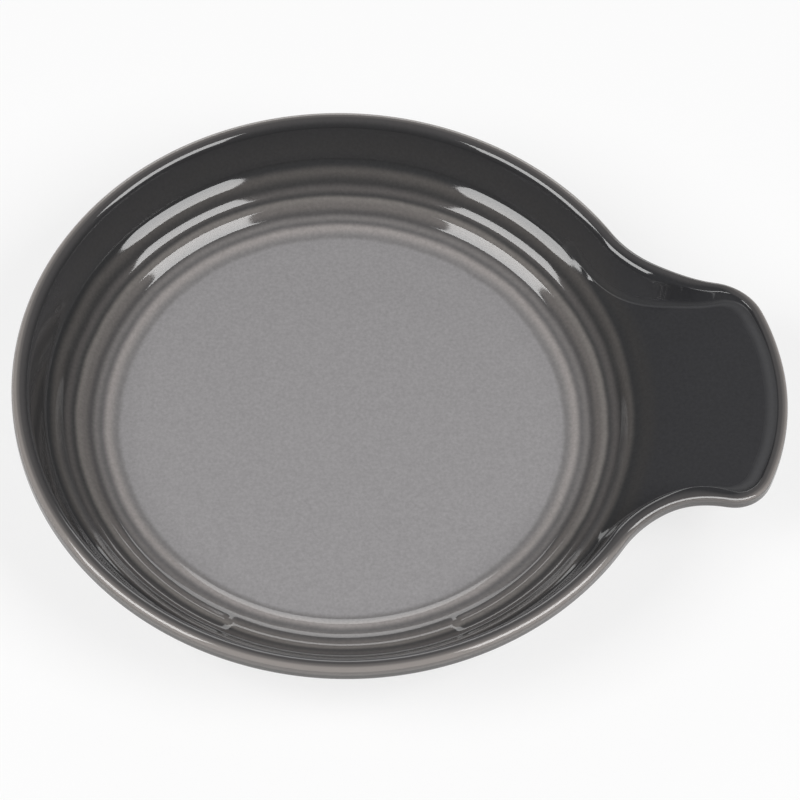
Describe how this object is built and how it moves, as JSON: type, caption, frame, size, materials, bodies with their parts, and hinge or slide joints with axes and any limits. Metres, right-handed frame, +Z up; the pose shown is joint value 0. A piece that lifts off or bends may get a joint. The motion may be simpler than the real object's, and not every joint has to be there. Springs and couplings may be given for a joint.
{
  "type": "spoon rest",
  "caption": "Round glazed stoneware spoon rest: a shallow dish with raised rings round its floor and a short broad handle with an open trough that the spoon's stem lies in.",
  "frame": {"origin": "on the dish's axis, in the plane of the table that the foot ring stands on", "axes": "+X along the handle, away from the dish; +Z up; the bare stretch of the middle ring faces -Y"},
  "size_m": [0.1528, 0.13, 0.024],
  "materials": {
    "clay": "bare fired stoneware, fine and matt",
    "pale_glaze": "glossy pale grey glaze, lighter on the rings and darker between them",
    "charcoal_glaze": "glossy charcoal glaze",
    "outside_glaze": "glossy warm grey glaze, lighter where it breaks over the rim's edge"
  },
  "bodies": {
    "root": {"stoneware_body": "clay", "well_glaze": "pale_glaze", "rim_glaze": "charcoal_glaze", "outside_glaze": "outside_glaze", "base_glaze": "outside_glaze"}
  },
  "joints": []
}
